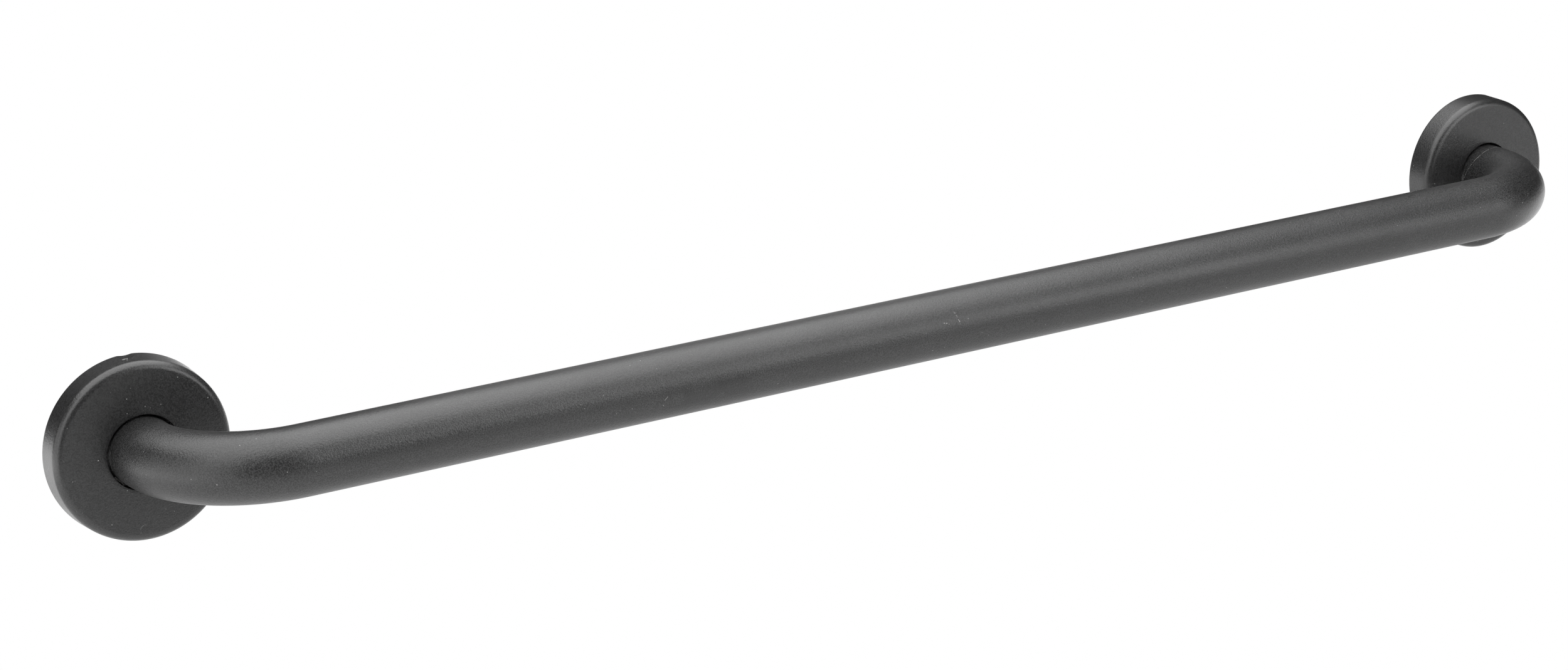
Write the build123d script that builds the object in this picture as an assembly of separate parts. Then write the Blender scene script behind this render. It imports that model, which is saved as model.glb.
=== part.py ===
from build123d import *
import math
import os

# Concealed-fixing grab bar: a bent round tube welded into two flat mounting
# plates, with a loose sheet-metal cover at each end that slides along the leg
# and clips over its plate.
#
# Frame, millimetres: the origin is on the wall plane, midway between the two
# legs. +X runs along the bar, +Y points into the wall, +Z is up. The bar stands
# out towards -Y.

# Tube
LEG_SPACING = 762.0      # centre to centre of the two legs, 30 in
TUBE_OD = 31.75          # 1-1/4 in
TUBE_WALL = 1.2          # 18 gauge
PROJECTION = 68.3        # wall plane to the centreline of the bar
BEND_R = 50.8            # centreline radius of the two bends, 2 in
TUBE_END_SET_BACK = 0.6  # the open ends stop just short of the wall plane

# Mounting plates
PLATE_T = 3.0            # 11 gauge
PLATE_R = 39.2           # rounded upper and lower ends, concentric with the leg
PLATE_WIDTH = 50.8       # between the two flat sides
PLATE_CORNER_R = 3.0
PLATE_EDGE_R = 0.4
PLATE_TUBE_GAP = 0.1     # radial, in the tube's hole
SCREW_HOLE_D = 7.2       # clears a 1/4 in screw
SCREW_SPACING = 56.0     # one hole above and one below the tube
SCREW_SINK_D = 9.0       # small broken edge on the front of each screw hole

# Fillet welds, on the front of the plates
WELD_LEG = 4.0
WELD_BULGE = 0.45

# Push-on covers
COVER_T = 0.8            # 22 gauge
COVER_D_BACK = 82.55     # 3-1/4 in across the open rim
COVER_D_FRONT = 81.3     # across the drawn wall where the front edge starts to round
COVER_DEPTH = 14.4
COVER_EDGE_R = 3.8       # outside radius between the wall and the front
COVER_HOLE_D = 34.0      # loose round the tube
COVER_BACK_GAP = 0.2     # the rim just clears the wall
COVER_HOLE_EDGE_R = 0.25
DETENT_DEPTH = 0.7       # pressed in at the rim, grips the plate's rounded end
DETENT_BALL_R = 11.1
DETENT_FROM_WALL = 2.0
# the covers turn on the tube, so the two are not in line
DETENT_ANGLES = {"left": (90.0, 270.0), "right": (68.0, 248.0)}

HALF = LEG_SPACING / 2
R_TUBE = TUBE_OD / 2
R_BORE = R_TUBE - TUBE_WALL

os.makedirs("parts", exist_ok=True)


def leg_axis(side):
    return Axis((side * HALF, 0, 0), (0, 1, 0))


def turned(points_and_arcs, side):
    """Solid of revolution about a leg. The profile is drawn in (radius, y)."""
    plane = Plane(origin=(side * HALF, 0, 0), x_dir=(1, 0, 0), z_dir=(0, 0, 1))
    face = make_face(points_and_arcs)
    return revolve(plane * face, leg_axis(side), 360)


def make_tube():
    y_end = -TUBE_END_SET_BACK
    path = FilletPolyline(
        (-HALF, y_end, 0),
        (-HALF, -PROJECTION, 0),
        (HALF, -PROJECTION, 0),
        (HALF, y_end, 0),
        radius=BEND_R,
    )
    start = Plane(origin=(-HALF, y_end, 0), x_dir=(1, 0, 0), z_dir=(0, -1, 0))
    tube = sweep(start * (Circle(R_TUBE) - Circle(R_BORE)), path=path)
    length = path.length
    section = math.pi * (R_TUBE**2 - R_BORE**2)
    print("tube volume", round(tube.volume, 1), "section times length", round(section * length, 1))
    return tube


def make_plate(side):
    # drawn in X and Z, then given its thickness towards the room
    plane = Plane(origin=(side * HALF, 0, 0), x_dir=(1, 0, 0), z_dir=(0, -1, 0))
    outline = Circle(PLATE_R) & Rectangle(PLATE_WIDTH, 2 * PLATE_R + 10)
    outline = fillet(outline.vertices(), PLATE_CORNER_R)
    plate = extrude(plane * outline, PLATE_T)
    front = plate.faces().sort_by(Axis.Y)[0]
    plate = fillet(front.edges(), PLATE_EDGE_R)
    hole = extrude(plane * Circle(R_TUBE + PLATE_TUBE_GAP), PLATE_T)
    plate = plate - hole
    for z in (SCREW_SPACING / 2, -SCREW_SPACING / 2):
        at = plane * Pos(0, z, 0)
        plate = plate - extrude(at * Circle(SCREW_HOLE_D / 2), PLATE_T)
        sink = (SCREW_SINK_D - SCREW_HOLE_D) / 2
        cone = Plane(
            origin=(side * HALF, -PLATE_T + sink, z), x_dir=(1, 0, 0), z_dir=(0, -1, 0)
        ) * Cone(
            SCREW_HOLE_D / 2,
            SCREW_SINK_D / 2,
            sink,
            align=(Align.CENTER, Align.CENTER, Align.MIN),
        )
        plate = plate - cone
    return plate


def make_weld(side):
    # slightly bulging fillet between the tube's wall and the plate's front
    a = (R_TUBE, -PLATE_T)
    b = (R_TUBE + WELD_LEG, -PLATE_T)
    c = (R_TUBE, -PLATE_T - WELD_LEG)
    mid = (
        (b[0] + c[0]) / 2 + WELD_BULGE / math.sqrt(2),
        (b[1] + c[1]) / 2 - WELD_BULGE / math.sqrt(2),
    )
    return turned([Line(a, b), ThreePointArc(b, mid, c), Line(c, a)], side)


def wall_profile(offset):
    """Outline of the cover's outside, moved inwards by offset, as (radius, y) points.

    The wall leans in from the rim to the front edge, and the edge is an arc that
    is tangent to the leaning wall and to the flat front.
    """
    r_back = COVER_D_BACK / 2
    r_front = COVER_D_FRONT / 2
    rise = COVER_DEPTH - COVER_EDGE_R - COVER_BACK_GAP
    lean = math.atan2(r_back - r_front, rise)
    edge_r = COVER_EDGE_R - offset
    # centre of the edge arc: on the line a radius inside the wall and the front
    centre_y = -(COVER_DEPTH - COVER_EDGE_R)
    wall_at_centre = r_back - (r_back - r_front) * (-centre_y - COVER_BACK_GAP) / rise
    centre_r = wall_at_centre - COVER_EDGE_R / math.cos(lean)
    # wall direction leans inwards by lean; its outward normal is (cos, -sin)
    on_wall = (
        centre_r + edge_r * math.cos(lean),
        centre_y - edge_r * math.sin(lean),
    )
    mid_angle = (lean + math.pi / 2) / 2
    on_arc = (
        centre_r + edge_r * math.cos(mid_angle),
        centre_y - edge_r * math.sin(mid_angle),
    )
    on_front = (centre_r, centre_y - edge_r)
    slope = math.tan(lean)
    on_rim = (on_wall[0] + slope * (-COVER_BACK_GAP - on_wall[1]), -COVER_BACK_GAP)
    return on_rim, on_wall, on_arc, on_front


def make_cover(side, name):
    o_rim, o_wall, o_arc, o_front = wall_profile(0)
    i_rim, i_wall, i_arc, i_front = wall_profile(COVER_T)
    front_y, back_y = o_front[1], -COVER_BACK_GAP

    outer = turned(
        [
            Line((0, back_y), o_rim),
            Line(o_rim, o_wall),
            ThreePointArc(o_wall, o_arc, o_front),
            Line(o_front, (0, front_y)),
            Line((0, front_y), (0, back_y)),
        ],
        side,
    )
    # the cavity runs a little past the rim so that the cut is open
    slope = (i_rim[0] - i_wall[0]) / (i_rim[1] - i_wall[1])
    past = (i_rim[0] + slope * 1.0, back_y + 1.0)
    cavity = turned(
        [
            Line((0, past[1]), past),
            Line(past, i_wall),
            ThreePointArc(i_wall, i_arc, i_front),
            Line(i_front, (0, i_front[1])),
            Line((0, i_front[1]), (0, past[1])),
        ],
        side,
    )
    for angle in DETENT_ANGLES[name]:
        r = COVER_D_BACK / 2 - DETENT_DEPTH + DETENT_BALL_R
        a = math.radians(angle)
        at = Pos(
            side * HALF + r * math.cos(a), -DETENT_FROM_WALL, r * math.sin(a)
        )
        # the sphere's poles are turned away from the cover
        turn = Rot(0, 90 - angle, 0)
        outer = outer - at * turn * Sphere(DETENT_BALL_R)
        cavity = cavity - at * turn * Sphere(DETENT_BALL_R + COVER_T)
    shell = outer - cavity
    plane = Plane(origin=(side * HALF, 0, 0), x_dir=(1, 0, 0), z_dir=(0, -1, 0))
    shell = shell - extrude(plane * Circle(COVER_HOLE_D / 2), COVER_DEPTH + 2)
    lip = [
        e
        for e in shell.edges().filter_by(GeomType.CIRCLE)
        if abs(e.radius - COVER_HOLE_D / 2) < 1e-3 and abs(e.center().Y - front_y) < 1e-3
    ]
    shell = fillet(lip, COVER_HOLE_EDGE_R)
    return shell


def write(shape, name):
    solids = shape.solids()
    if len(solids) != 1:
        raise ValueError(f"{name} has {len(solids)} solids")
    solid = solids[0]
    solid.label = name
    export_step(solid, f"parts/{name}.step")
    box = solid.bounding_box()
    print(name, "volume", round(solid.volume, 1), "box", tuple(round(v, 2) for v in box.min), tuple(round(v, 2) for v in box.max))


write(make_tube(), "grab_tube")
for side, name in ((-1, "left"), (1, "right")):
    write(make_plate(side), f"mounting_flange_{name}")
    write(make_weld(side), f"weld_bead_{name}")
    write(make_cover(side, name), f"flange_cover_{name}")
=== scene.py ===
import math

import bpy
import numpy as np
from mathutils import Matrix, Vector


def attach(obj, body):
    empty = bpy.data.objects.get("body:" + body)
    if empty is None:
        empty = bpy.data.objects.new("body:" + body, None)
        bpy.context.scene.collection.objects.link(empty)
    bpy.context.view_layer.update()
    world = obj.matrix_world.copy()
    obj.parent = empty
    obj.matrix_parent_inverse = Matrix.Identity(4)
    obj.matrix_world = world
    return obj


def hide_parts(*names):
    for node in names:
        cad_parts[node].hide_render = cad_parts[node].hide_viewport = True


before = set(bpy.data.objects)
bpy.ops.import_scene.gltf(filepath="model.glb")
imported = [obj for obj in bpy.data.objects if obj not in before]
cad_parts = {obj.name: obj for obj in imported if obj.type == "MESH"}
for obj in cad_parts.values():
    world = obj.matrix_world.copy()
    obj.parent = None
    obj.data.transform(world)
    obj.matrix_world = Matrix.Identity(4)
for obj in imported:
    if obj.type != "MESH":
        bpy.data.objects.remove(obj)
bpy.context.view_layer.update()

MM = 0.001

# ---------------------------------------------------------------- sizes, millimetres
HALF = 381.0            # leg centre from the middle of the bar
R_TUBE = 15.875
R_BORE = 14.675
PROJ = 68.3             # wall plane to the bar's centreline
BEND_R = 50.8
TUBE_END = 0.6          # open ends stop this far from the wall plane

COVER_R_BACK = 41.275
COVER_R_FRONT = 40.65
COVER_DEPTH = 14.4
COVER_EDGE = 3.8
COVER_T = 0.8
COVER_GAP = 0.2
HOLE_R = 17.0
DENT_DEPTH = 0.7
DENT_BALL = 11.1
DENT_Y = -2.0
DENTS = {"left": (90.0, 270.0), "right": (68.0, 248.0)}

PLATE_T = 3.0
WELD_LEG = 4.0


# ---------------------------------------------------------------- mesh helpers
def ring_mesh(name, rings, sharp_deg=50.0):
    """Closed mesh from a closed loop of closed rings, each an (n, 3) array in mm."""
    n = len(rings[0])
    m = len(rings)
    verts = np.concatenate(rings) * MM
    i = np.arange(m)[:, None]
    k = np.arange(n)[None, :]
    a = i * n + k
    b = i * n + (k + 1) % n
    c = ((i + 1) % m) * n + (k + 1) % n
    d = ((i + 1) % m) * n + k
    quads = np.stack([a, b, c, d], -1).reshape(-1, 4)
    mesh = bpy.data.meshes.new(name)
    mesh.from_pydata(verts.tolist(), [], quads.tolist())
    mesh.update()
    # outward normals: a closed surface has positive signed volume
    v = verts[quads]
    vol = np.einsum("ij,ij->i", v[:, 0], np.cross(v[:, 1], v[:, 2])).sum()
    vol += np.einsum("ij,ij->i", v[:, 0], np.cross(v[:, 2], v[:, 3])).sum()
    if vol < 0:
        mesh.flip_normals()
    mesh.polygons.foreach_set("use_smooth", np.ones(len(mesh.polygons), bool))
    mesh.set_sharp_from_angle(angle=math.radians(sharp_deg))
    mesh.update()
    obj = bpy.data.objects.new(name, mesh)
    bpy.context.scene.collection.objects.link(obj)
    return obj


# ---------------------------------------------------------------- the bent tube
def tube_stations():
    """Centre and in-plane normal at stations from the left end to the right."""
    st = PROJ - BEND_R
    out = []
    for y in (TUBE_END, TUBE_END + 0.12, TUBE_END + 0.35, 2.0, 5.0, 9.0, 13.0, st):
        out.append(((-HALF, -y), (-1.0, 0.0)))
    for a in np.radians(np.linspace(0, 90, 73)[1:]):
        cx, cy = -HALF + BEND_R, -st
        nx, ny = -math.cos(a), -math.sin(a)
        out.append(((cx + BEND_R * nx, cy + BEND_R * ny), (nx, ny)))
    x0 = HALF - BEND_R
    for x in np.linspace(-x0, x0, 68)[1:]:
        out.append(((x, -PROJ), (0.0, -1.0)))
    for a in np.radians(np.linspace(90, 0, 73)[1:]):
        cx, cy = HALF - BEND_R, -st
        nx, ny = math.cos(a), -math.sin(a)
        out.append(((cx + BEND_R * nx, cy + BEND_R * ny), (nx, ny)))
    for y in (13.0, 9.0, 5.0, 2.0, TUBE_END + 0.35, TUBE_END + 0.12, TUBE_END):
        out.append(((HALF, -y), (1.0, 0.0)))
    return out


def make_tube():
    n = 160
    phi = np.linspace(0, 2 * math.pi, n, endpoint=False)
    stations = tube_stations()
    last = len(stations) - 1

    def ring(index, radius):
        (cx, cy), (nx, ny) = stations[index]
        r = np.full(n, radius)
        return np.stack(
            [cx + r * np.cos(phi) * nx, cy + r * np.cos(phi) * ny, r * np.sin(phi)], 1
        )

    def edge(index, radius, sign):
        # cut ends are deburred: a small round on both edges
        drop = {0: 0.32, 1: 0.1, last: 0.32, last - 1: 0.1}.get(index, 0.0)
        return ring(index, radius + sign * drop)

    outer = [edge(i, R_TUBE, -1) for i in range(last + 1)]
    inner = [edge(i, R_BORE, 1) for i in range(last, -1, -1)]
    return ring_mesh("bar_tube", outer + inner, 60)


# ---------------------------------------------------------------- the push-on covers
def cover_profile(offset):
    """Rim, wall end, arc points and front start of the cover's skin, offset inwards."""
    rise = COVER_DEPTH - COVER_EDGE - COVER_GAP
    lean = math.atan2(COVER_R_BACK - COVER_R_FRONT, rise)
    cy = -(COVER_DEPTH - COVER_EDGE)
    cr = COVER_R_FRONT - COVER_EDGE / math.cos(lean)
    er = COVER_EDGE - offset
    arc = [
        (cr + er * math.cos(t), cy - er * math.sin(t))
        for t in np.linspace(lean, math.pi / 2, 19)
    ]
    wall = arc[0]
    rim_r = wall[0] + math.tan(lean) * (-COVER_GAP - wall[1])
    return rim_r, wall, arc


def make_cover(name, side):
    rim_o, wall_o, arc_o = cover_profile(0.0)
    rim_i, wall_i, arc_i = cover_profile(COVER_T)
    y_front, y_back = -COVER_DEPTH, -COVER_GAP
    prof, skin = [], []

    def add(r, y, s):
        prof.append((r, y))
        skin.append(s)

    # hole lip, front face, rounded edge
    lip = 0.28
    for t in np.radians((0, 30, 60, 90)):
        add(HOLE_R + lip * (1 - math.cos(t)), y_front + lip * (1 - math.sin(t)), 0)
    r_flat = arc_o[-1][0]
    for r in np.linspace(HOLE_R + lip, r_flat, 14)[1:-1]:
        add(r, y_front, 0)
    for r, y in reversed(arc_o):
        add(r, y, 1)
    # outside wall, closer rings towards the rim
    ys = wall_o[1] + (y_back - 0.25 - wall_o[1]) * np.linspace(0, 1, 15)[1:] ** 0.75
    for y in ys:
        f = (y - wall_o[1]) / (y_back - wall_o[1])
        add(wall_o[0] + (rim_o - wall_o[0]) * f, y, 1)
    # rim, a small round on each side
    add(rim_o - 0.07, y_back - 0.07, 1)
    add(rim_o - 0.25, y_back, 1)
    add(rim_i + 0.2, y_back, 2)
    add(rim_i + 0.05, y_back - 0.07, 2)
    for y in ys[::-1]:
        f = (y - wall_i[1]) / (y_back - wall_i[1])
        if 0 < f < 1:
            add(wall_i[0] + (rim_i - wall_i[0]) * f, y, 2)
    for r, y in arc_i:
        add(r, y, 2)
    r_flat = arc_i[-1][0]
    for r in np.linspace(r_flat, HOLE_R + 0.1, 8)[1:]:
        add(r, y_front + COVER_T, 0)
    add(HOLE_R, y_front + COVER_T - 0.1, 0)

    fine = [np.arange(-9, 9.01, 0.45) + d for d in DENTS[name]]
    theta = np.unique(
        np.round(np.concatenate([np.arange(0, 360, 1.2)] + fine) % 360, 3)
    )
    keep = np.concatenate([[True], np.diff(theta) > 0.2])
    theta = np.radians(theta[keep])
    rings = []
    for (r, y), s in zip(prof, skin):
        rr = np.full(len(theta), r)
        if s:
            ball = DENT_BALL + (COVER_T if s == 2 else 0.0)
            for d in DENTS[name]:
                dt = (theta - math.radians(d) + math.pi) % (2 * math.pi) - math.pi
                rc = COVER_R_BACK - DENT_DEPTH + DENT_BALL
                q = ball**2 - (y - DENT_Y) ** 2 - (rc * np.sin(dt)) ** 2
                ok = (np.abs(dt) < 0.5) & (q > 0)
                hit = np.where(ok, rc * np.cos(dt) - np.sqrt(np.where(ok, q, 1)), 1e3)
                # soft join between the pressed ball and the wall
                w = 0.12
                x = np.clip((hit - r) / w, -30, 30)
                soft = r - w * np.log1p(np.exp(-x))
                rr = np.where(ok, np.minimum(rr, soft), rr)
        rings.append(
            np.stack(
                [side * HALF + rr * np.cos(theta), np.full(len(theta), y), rr * np.sin(theta)],
                1,
            )
        )
    return ring_mesh("cover_" + name, rings, 40)


# ---------------------------------------------------------------- fillet welds
def make_weld(name, side):
    """Run of overlapping weld ripples round the tube, on the front of the plate."""
    n = 720
    theta = np.linspace(0, 2 * math.pi, n, endpoint=False)
    rng = np.random.default_rng(11 if side < 0 else 12)
    count = 46
    edges = np.cumsum(rng.uniform(0.8, 1.2, count))
    edges = np.concatenate([[0], edges]) / edges[-1] * 2 * math.pi
    idx = np.clip(np.searchsorted(edges, theta, side="right") - 1, 0, count - 1)
    f = (theta - edges[idx]) / (edges[idx + 1] - edges[idx])
    # each ripple rises slowly and drops at its leading edge
    ripple = np.where(f < 0.8, np.sin(f / 0.8 * math.pi / 2), np.cos((f - 0.8) / 0.2 * math.pi / 2))
    gain = rng.uniform(0.7, 1.15, count)[idx]
    wob = 0.14 * np.sin(3 * theta + 0.7) + 0.1 * np.sin(7 * theta + 2.1)
    rings = []
    steps = np.linspace(0, 1, 15)
    for t in steps:
        across = math.sin(math.pi * t)
        lag = np.roll(ripple * gain, int(round(5 * (t - 0.5) ** 2 * 4)))
        bulge = across * (0.22 + 0.22 * lag)
        leg = WELD_LEG - 0.25 + wob * (1 - across * 0.5)
        r = R_TUBE + leg * (1 - t)
        y = -PLATE_T - leg * t
        r = r + bulge * math.sqrt(0.5)
        y = y - bulge * math.sqrt(0.5)
        rings.append(np.stack([side * HALF + r * np.cos(theta), y + 0 * theta, r * np.sin(theta)], 1))
    # root, just inside the tube's wall and the plate's face
    for r, y in ((R_TUBE - 0.08, -PLATE_T - WELD_LEG * 0.6), (R_TUBE - 0.08, -PLATE_T + 0.08), (R_TUBE + WELD_LEG * 0.6, -PLATE_T + 0.08)):
        rings.append(np.stack([side * HALF + r * np.cos(theta), np.full(n, y), r * np.sin(theta)], 1))
    return ring_mesh("weld_" + name, rings, 60)


# ---------------------------------------------------------------- materials
class Graph:
    """Short names for building a node tree."""

    def __init__(self, name):
        self.mat = bpy.data.materials.new(name)
        self.mat.use_nodes = True
        self.tree = self.mat.node_tree
        self.bsdf = self.tree.nodes["Principled BSDF"]
        coord = self.tree.nodes.new("ShaderNodeTexCoord")
        self.obj = coord.outputs["Object"]
        self.count = 0

    def node(self, kind, **props):
        n = self.tree.nodes.new(kind)
        for k, v in props.items():
            setattr(n, k, v)
        return n

    def put(self, socket, value):
        if isinstance(value, bpy.types.NodeSocket):
            self.tree.links.new(value, socket)
        else:
            socket.default_value = value

    def math(self, op, a, b=None, c=None, clamp=False):
        n = self.node("ShaderNodeMath", operation=op, use_clamp=clamp)
        for i, v in enumerate((a, b, c)):
            if v is not None:
                self.put(n.inputs[i], v)
        return n.outputs[0]

    def vec(self, op, a, b=None, scale=None):
        n = self.node("ShaderNodeVectorMath", operation=op)
        self.put(n.inputs[0], a)
        if b is not None:
            self.put(n.inputs[1], b)
        if scale is not None:
            self.put(n.inputs["Scale"], scale)
        return n.outputs["Value"] if op in ("LENGTH", "DOT_PRODUCT", "DISTANCE") else n.outputs["Vector"]

    def noise(self, scale, detail=2.0, rough=0.5, vector=None, distortion=0.0):
        n = self.node("ShaderNodeTexNoise", noise_dimensions="3D")
        self.put(n.inputs["Vector"], vector if vector is not None else self.obj)
        n.inputs["Scale"].default_value = scale
        n.inputs["Detail"].default_value = detail
        n.inputs["Roughness"].default_value = rough
        n.inputs["Distortion"].default_value = distortion
        return n.outputs["Fac"]

    def voronoi(self, scale, feature="F1", vector=None, randomness=1.0):
        n = self.node("ShaderNodeTexVoronoi", voronoi_dimensions="3D", feature=feature)
        self.put(n.inputs["Vector"], vector if vector is not None else self.obj)
        n.inputs["Scale"].default_value = scale
        n.inputs["Randomness"].default_value = randomness
        return n

    def ramp(self, value, lo, hi, out_lo=0.0, out_hi=1.0, smooth=True):
        n = self.node("ShaderNodeMapRange", interpolation_type="SMOOTHSTEP" if smooth else "LINEAR")
        self.put(n.inputs["Value"], value)
        n.inputs["From Min"].default_value = lo
        n.inputs["From Max"].default_value = hi
        n.inputs["To Min"].default_value = out_lo
        n.inputs["To Max"].default_value = out_hi
        return n.outputs["Result"]

    def mix(self, fac, a, b):
        n = self.node("ShaderNodeMix", data_type="RGBA")
        self.put(n.inputs[0], fac)
        self.put(n.inputs[6], a)
        self.put(n.inputs[7], b)
        return n.outputs[2]

    def bump(self, height, distance, strength=1.0, normal=None):
        n = self.node("ShaderNodeBump")
        self.put(n.inputs["Height"], height)
        n.inputs["Distance"].default_value = distance
        n.inputs["Strength"].default_value = strength
        if normal is not None:
            self.put(n.inputs["Normal"], normal)
        return n.outputs["Normal"]

    def stroke(self, a, b, width, vector=None):
        """Mask of a thin straight mark from a to b, in millimetres on the object."""
        a, b = Vector(a) * MM, Vector(b) * MM
        ab = b - a
        pa = self.vec("SUBTRACT", vector if vector is not None else self.obj, a)
        t = self.math("DIVIDE", self.vec("DOT_PRODUCT", pa, ab), ab.length_squared, clamp=True)
        d = self.vec("LENGTH", self.vec("SUBTRACT", pa, self.vec("SCALE", ab, scale=t)))
        return self.ramp(d, width * MM * 0.5, width * MM * 1.2, 1.0, 0.0)

    def most(self, *masks):
        out = masks[0]
        for m in masks[1:]:
            out = self.math("MAXIMUM", out, m)
        return out


COAT = (0.0115, 0.0115, 0.0116)
# light grey of dust specks and wear marks, also used for the painted highlight on the left cover
DUST_AND_HIGHLIGHT = (0.42, 0.42, 0.41)


def powder_coat(name, seed, marks_and_highlights=None, smudge=None, grain=0.9, rough=0.41, relief=1.0):
    """Fine-textured matte black powder coat, with a little dust and handling wear, and any painted highlight passed in
    with the marks.
    """
    g = Graph(name)
    shift = g.vec("ADD", g.obj, (seed * 0.37, seed * 0.19, seed * 0.53))

    # texture: a fine sandy grain on a faint orange peel
    sand = g.noise(1700.0, 2.0, 0.6, shift)
    peel = g.noise(850.0, 1.0, 0.5, shift)
    swell = g.noise(90.0, 1.0, 0.5, shift)
    n1 = g.bump(swell, 0.00010, 0.5)
    n2 = g.bump(peel, 0.00007 * relief, 1.0, n1)
    n3 = g.bump(sand, 0.00009 * relief, 1.0, n2)

    # colour: slow cloudiness and a faint light fleck on the grain's tops
    cloud = g.noise(28.0, 3.0, 0.6, shift)
    smear = g.noise(11.0, 2.0, 0.5, shift, 0.6)
    tone = g.math("MULTIPLY", g.ramp(cloud, 0.3, 0.72, 0.86, 1.16), g.ramp(sand, 0.34, 0.66, 1.0 - grain, 1.0 + grain))
    stain = None
    if smudge is not None:
        stain = smudge(g)
        tone = g.math("MULTIPLY", tone, g.math("MULTIPLY_ADD", stain, -0.5, 1.0))
    base = g.vec("SCALE", COAT, scale=tone)

    # dust: specks of uneven size and brightness, thicker in some places
    dirt_and_highlight = None
    for scale, near, far, strength in ((250.0, 0.050, 0.085, 1.0), (430.0, 0.045, 0.085, 0.6)):
        v = g.voronoi(scale, vector=shift)
        pick = g.node("ShaderNodeSeparateColor")
        g.put(pick.inputs[0], v.outputs["Color"])
        size = g.ramp(pick.outputs[0], 0.0, 1.0, 0.25, 1.0, smooth=False)
        spot = g.ramp(g.math("DIVIDE", v.outputs["Distance"], size), near, far, 1.0, 0.0)
        glow = g.math("MULTIPLY", g.math("POWER", pick.outputs[1], 1.5), strength)
        spot = g.math("MULTIPLY", spot, glow)
        dirt_and_highlight = spot if dirt_and_highlight is None else g.most(dirt_and_highlight, spot)
    dirt_and_highlight = g.math("MULTIPLY", dirt_and_highlight, g.ramp(smear, 0.35, 0.62, 0.35, 0.65))
    # the marks may carry a painted highlight, mixed in with the dust colour
    if marks_and_highlights is not None:
        dirt_and_highlight = g.most(dirt_and_highlight, marks_and_highlights(g))
    g.put(g.bsdf.inputs["Base Color"], g.mix(dirt_and_highlight, base, (*DUST_AND_HIGHLIGHT, 1)))

    gloss = g.ramp(smear, 0.3, 0.7, rough - 0.03, rough + 0.03)
    gloss.node.name = "gloss"
    r = g.math("ADD", gloss, g.ramp(sand, 0.3, 0.7, -0.03, 0.03))
    if stain is not None:
        r = g.math("MULTIPLY_ADD", stain, -0.05, r)
    r = g.math("ADD", r, g.math("MULTIPLY", dirt_and_highlight, 0.35), clamp=True)
    g.put(g.bsdf.inputs["Roughness"], r)
    g.bsdf.inputs["Specular IOR Level"].default_value = 0.5
    g.bsdf.inputs["IOR"].default_value = 1.5
    g.put(g.bsdf.inputs["Normal"], n3)
    return g.mat


def tube_marks(g):
    """Rub line of the tilted cover on the right leg, and a light dotted scratch on the bar."""
    sep = g.node("ShaderNodeSeparateXYZ")
    g.put(sep.inputs[0], g.obj)
    px, py, pz = sep.outputs
    wander = g.math("MULTIPLY", g.math("SUBTRACT", g.noise(420.0, 2.0, 0.6), 0.5), 0.0012)
    plane = g.math("MULTIPLY_ADD", g.math("SUBTRACT", px, HALF * MM), -0.0523, py)
    plane = g.math("MULTIPLY_ADD", pz, 0.4414, plane)
    off = g.math("ADD", g.math("ADD", plane, 0.01396), wander)
    line = g.ramp(g.math("ABSOLUTE", off), 0.00010, 0.00030, 1.0, 0.0)
    broken = g.ramp(g.noise(900.0, 2.0, 0.6), 0.42, 0.60, 0.15, 1.0)
    where = g.math("MULTIPLY", g.ramp(pz, -0.0015, 0.002), g.ramp(px, 0.3862, 0.3838))
    where = g.math("MULTIPLY", where, g.ramp(px, 0.3640, 0.3646))
    scuff = g.math("MULTIPLY", g.math("MULTIPLY", line, broken), where)
    dots = g.ramp(g.noise(1250.0, 1.0, 0.5), 0.46, 0.58)
    dotted = g.most(
        g.stroke((-5.0, -81.5, 8.85), (-3.2, -83.8, 3.5), 0.34),
        g.stroke((-12.0, -83.3, 5.2), (-9.4, -83.5, 4.4), 0.3),
    )
    nick = g.stroke((-161.9, -83.95, -2.7), (-160.4, -84.1, -1.3), 0.2)
    light = g.most(g.math("MULTIPLY", dotted, dots), g.math("MULTIPLY", nick, 0.6))
    return g.most(g.math("MULTIPLY", scuff, 0.23), g.math("MULTIPLY", light, 0.4))


def tube_smudge(g):
    """Faint darker finger marks on the front of the bar, left of the middle."""
    sep = g.node("ShaderNodeSeparateXYZ")
    g.put(sep.inputs[0], g.obj)
    px, py, pz = sep.outputs
    where = g.math("MULTIPLY", g.ramp(px, -0.180, -0.150), g.ramp(px, -0.108, -0.122))
    where = g.math("MULTIPLY", where, g.ramp(pz, 0.006, -0.001))
    return g.math("MULTIPLY", where, g.ramp(g.noise(110.0, 2.0, 0.5), 0.48, 0.62))


def left_cover_fibre_and_highlight(g):
    """Painted highlight along the front edge of the detent on the left cover, and a curled fibre on its face."""
    def on_wall(theta, y, r=41.0):
        a = math.radians(theta)
        return (-HALF + r * math.cos(a), y, r * math.sin(a))

    # painted highlight: light strokes along the front edge of the detent dimple, where the edge catches light
    m = g.most(
        g.stroke(on_wall(94.0, -6.5), on_wall(92.2, -6.3), 0.62),
        g.stroke(on_wall(91.0, -5.9), on_wall(92.9, -9.4), 0.26),
    )
    broken = g.ramp(g.noise(1300.0, 2.0, 0.6), 0.36, 0.55)
    dimple_edge_highlight = g.math("MULTIPLY", g.math("MULTIPLY", m, broken), 0.28)
    curl = ((-386.5, -34.15), (-385.8, -33.1), (-384.6, -32.55), (-383.75, -32.7))
    face = -COVER_DEPTH
    fibre = g.most(
        *(g.stroke((a[0], face, a[1]), (b[0], face, b[1]), 0.13) for a, b in zip(curl, curl[1:])),
        g.stroke((-386.5, face, -35.9), (-386.4, face, -35.85), 0.2),
    )
    return g.most(dimple_edge_highlight, g.math("MULTIPLY", fibre, 0.12))


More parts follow.
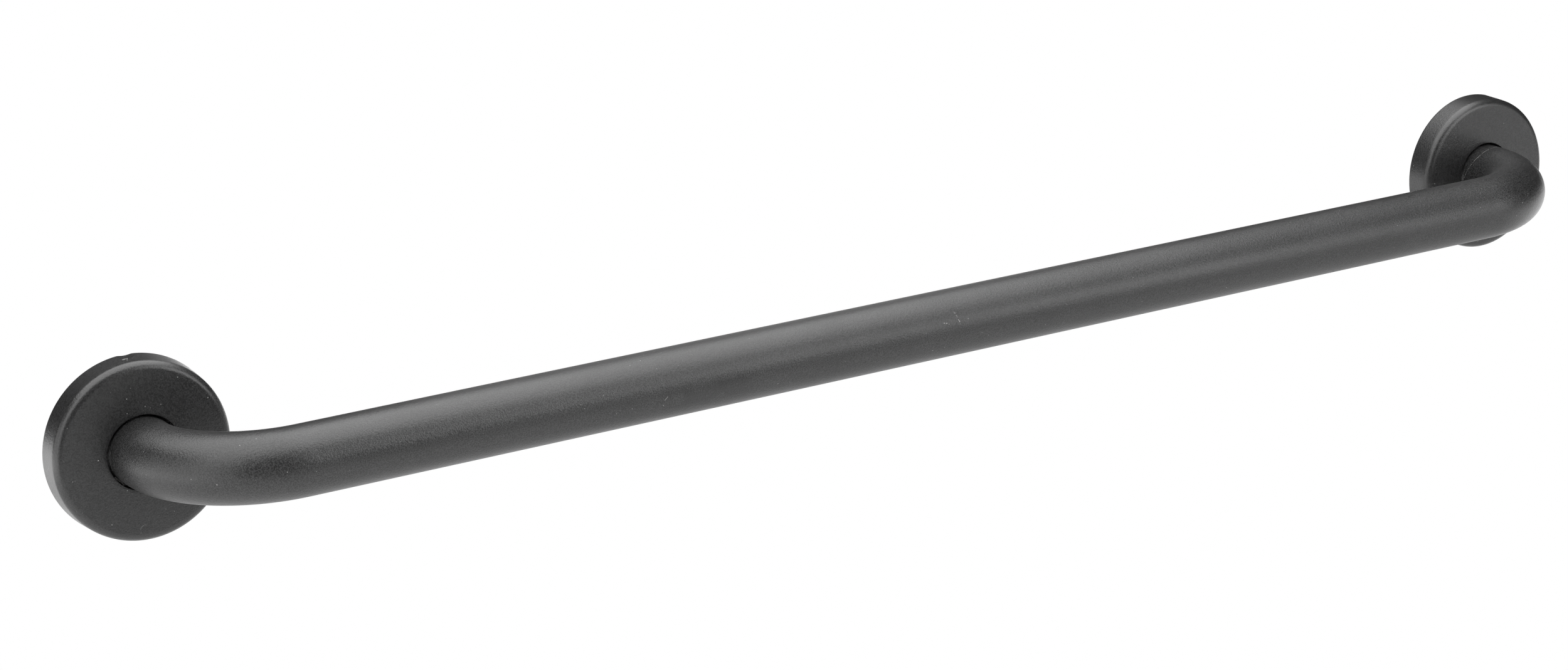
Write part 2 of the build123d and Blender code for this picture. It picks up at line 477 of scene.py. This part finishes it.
def weld_finish():
    """Weld metal under the same black coat, a little glossier on the ripples, with a painted glint low on the left
    weld.
    """
    g = Graph("weld_finish")
    grain = g.noise(1200.0, 2.0, 0.55)
    broad = g.noise(140.0, 2.0, 0.5)
    coat = g.mix(broad, (0.02, 0.02, 0.02, 1), (0.04, 0.039, 0.038, 1))
    # painted glint: a light streak low on the left weld, seen through the gap round the tube, standing in for light
    # caught there
    painted_glint = g.stroke((-392.6, -6.5, -11.2), (-388.4, -5.9, -15.6), 0.7)
    g.put(g.bsdf.inputs["Base Color"], g.mix(painted_glint, coat, (0.62, 0.61, 0.6, 1)))
    g.put(g.bsdf.inputs["Roughness"], g.ramp(broad, 0.3, 0.7, 0.36, 0.5))
    g.put(g.bsdf.inputs["Normal"], g.bump(grain, 0.00008, 0.6))
    return g.mat


def floor_finish(name, far=False):
    """Pale, evenly lit studio floor; the back of it carries a light of its own."""
    g = Graph(name)
    soft = g.noise(3.0, 2.0, 0.5)
    g.put(g.bsdf.inputs["Base Color"], g.mix(soft, (0.6, 0.6, 0.6, 1), (0.64, 0.64, 0.64, 1)))
    g.bsdf.inputs["Roughness"].default_value = 0.9
    g.bsdf.inputs["Specular IOR Level"].default_value = 0.1
    g.bsdf.inputs["Emission Color"].default_value = (1, 1, 1, 1)
    if far:
        g.bsdf.inputs["Emission Strength"].default_value = 1.0
    else:
        # lit sweeps at the back, the right and the left, and weak pools near the bar
        sep = g.node("ShaderNodeSeparateXYZ")
        g.put(sep.inputs[0], g.obj)
        px, py, pz = sep.outputs
        behind = g.math("ADD", g.ramp(py, 0.42, 0.82, 0.0, 1.95), g.ramp(py, 1.2, 1.6, 0.0, 1.35))
        behind = g.math("MULTIPLY", behind, g.ramp(px, -0.7, 0.1, 0.78, 1.0))
        side = g.math("ADD", g.ramp(py, -0.9, -0.7, 0.0, 0.85), g.ramp(py, -0.1, 0.3, 0.0, 1.25))
        under = g.math("MULTIPLY", g.ramp(px, -0.05, -0.4, 0.0, 0.4), g.ramp(py, 0.3, 0.0))
        under = g.math("MULTIPLY", under, g.ramp(py, -0.5, -0.25))
        ahead = g.math("MULTIPLY", g.ramp(px, 0.65, 0.35, 0.0, 0.4), g.ramp(py, -0.12, -0.35))
        ahead = g.math("MULTIPLY", ahead, g.ramp(py, -0.85, -0.6))
        sweep = g.most(
            behind,
            under,
            ahead,
            g.math("MULTIPLY", g.ramp(px, 0.62, 0.95), side),
            g.math("MULTIPLY", g.ramp(px, -0.95, -1.25, 0.0, 3.0), g.ramp(py, -1.3, -1.1)),
        )
        g.put(g.bsdf.inputs["Emission Strength"], sweep)
    # plain white to the eye, as in a cut-out studio picture
    white = g.node("ShaderNodeEmission")
    seen = g.node("ShaderNodeLightPath")
    either = g.node("ShaderNodeMixShader")
    g.put(either.inputs[0], seen.outputs["Is Camera Ray"])
    g.put(either.inputs[1], g.bsdf.outputs[0])
    g.put(either.inputs[2], white.outputs[0])
    g.put(g.tree.nodes["Material Output"].inputs["Surface"], either.outputs[0])
    return g.mat


# ---------------------------------------------------------------- pieces
tube = make_tube()
tube.data.materials.append(powder_coat("tube_finish", 1, tube_marks, tube_smudge))
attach(tube, "bar")
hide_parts("grab_tube")

# the plates and welds are coated together with the tube
plate_mat, weld_mat = powder_coat("plate_finish", 7, grain=0.6, rough=0.45), weld_finish()
for side, name in ((-1, "left"), (1, "right")):
    cover = make_cover(name, side)
    cover.data.materials.append(
        powder_coat("cover_finish_" + name, 2 + side, left_cover_fibre_and_highlight if side < 0 else None, grain=0.5, rough=0.36, relief=0.62)
    )
    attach(cover, "cover_" + name)
    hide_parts("flange_cover_" + name)

    weld = make_weld(name, side)
    weld.data.materials.append(weld_mat)
    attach(weld, "bar")
    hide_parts("weld_bead_" + name)

    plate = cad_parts["mounting_flange_" + name]
    for s in plate.material_slots:
        s.material = plate_mat

# ---------------------------------------------------------------- floor, light, camera
FLOOR_Z = -0.30


def flat(name, x0, x1, y0, y1, z, mat):
    mesh = bpy.data.meshes.new(name)
    mesh.from_pydata([(x0, y0, z), (x1, y0, z), (x1, y1, z), (x0, y1, z)], [], [(0, 1, 2, 3)])
    mesh.materials.append(mat)
    obj = bpy.data.objects.new(name, mesh)
    bpy.context.scene.collection.objects.link(obj)
    return obj


floor = flat("studio_floor", -2.6, 2.6, -1.6, 3.0, FLOOR_Z, floor_finish("floor_finish"))
# beyond the table, flagged off in reflections
ground = flat("studio_ground", -30, 30, -30, 30, FLOOR_Z - 0.002, floor_finish("ground_finish", True))
ground.visible_glossy = False

world = bpy.data.worlds.new("studio_world")
bpy.context.scene.world = world
world.use_nodes = True
wt = world.node_tree
backdrop = wt.nodes["Background"]
backdrop.inputs["Color"].default_value = (1, 1, 1, 1)
room = wt.nodes.new("ShaderNodeBackground")
room.inputs["Color"].default_value = (1, 1, 1, 1)
room.inputs["Strength"].default_value = 0.02
seen = wt.nodes.new("ShaderNodeLightPath")
either = wt.nodes.new("ShaderNodeMixShader")
wt.links.new(seen.outputs["Is Camera Ray"], either.inputs[0])
wt.links.new(room.outputs[0], either.inputs[1])
wt.links.new(backdrop.outputs[0], either.inputs[2])
wt.links.new(either.outputs[0], wt.nodes["World Output"].inputs["Surface"])


def softbox(name, place, aim, size, power):
    light = bpy.data.lights.new(name, "AREA")
    light.shape = "RECTANGLE"
    light.size, light.size_y = size
    light.energy = power
    obj = bpy.data.objects.new(name, light)
    obj.location = place
    obj.rotation_mode = "QUATERNION"
    obj.rotation_quaternion = (Vector(aim) - Vector(place)).to_track_quat("-Z", "Y")
    bpy.context.scene.collection.objects.link(obj)
    return obj


softbox("overhead_right", (0.75, -0.25, 1.2), (0.75, -0.25, 0), (0.5, 2.5), 18.6)
softbox("overhead_mid", (0.25, 0.025, 1.2), (0.25, 0.025, 0), (0.5, 1.95), 14.8)
softbox("overhead_left", (-0.7, 0.025, 1.2), (-0.7, 0.025, 0), (1.4, 1.95), 34)
softbox("high_left", (-1.6, -0.9, 1.0), (0, 0, 0), (1.1, 0.9), 10)
softbox("low_left", (-1.9, -0.9, 0.2), (0, 0, 0), (1.0, 0.8), 6.4)
softbox("low_left_back", (-1.9, 0.2, 0.2), (0, 0, 0), (1.0, 0.8), 5.5)
softbox("front_right", (1.6, -2.0, 0.5), (0, 0, 0.25), (0.8, 1.5), 19.5)
softbox("back_low", (0.75, 1.5, 0.33), (0, 0, 0), (0.65, 0.8), 1.2)
softbox("front_high", (0.8, -2.0, 0.75), (0, 0, 0.35), (0.8, 1.0), 11)

AZ, EL, ROLL = -0.520888, 0.284675, -0.047484
TARGET = Vector((-0.081765, -0.0540593, 0.0058605))
DIST, FOCAL_PX = 1.6119069, 5527.386
back = Vector((math.sin(AZ) * math.cos(EL), -math.cos(AZ) * math.cos(EL), math.sin(EL)))
right = (-back).cross(Vector((0, 0, 1))).normalized()
up = right.cross(-back)
right, up = (
    math.cos(ROLL) * right + math.sin(ROLL) * up,
    -math.sin(ROLL) * right + math.cos(ROLL) * up,
)
cam_data = bpy.data.cameras.new("photo_camera")
cam_data.sensor_fit = "HORIZONTAL"
cam_data.sensor_width = 36.0
cam_data.lens = FOCAL_PX / 2500.0 * 36.0
cam_data.clip_start, cam_data.clip_end = 0.01, 100.0
camera = bpy.data.objects.new("photo_camera", cam_data)
bpy.context.scene.collection.objects.link(camera)
camera.matrix_world = Matrix(
    (
        (right.x, up.x, back.x, TARGET.x + back.x * DIST),
        (right.y, up.y, back.y, TARGET.y + back.y * DIST),
        (right.z, up.z, back.z, TARGET.z + back.z * DIST),
        (0, 0, 0, 1),
    )
)
bpy.context.scene.camera = camera
bpy.context.scene.view_settings.view_transform = "Standard"
bpy.context.scene.view_settings.look = "None"
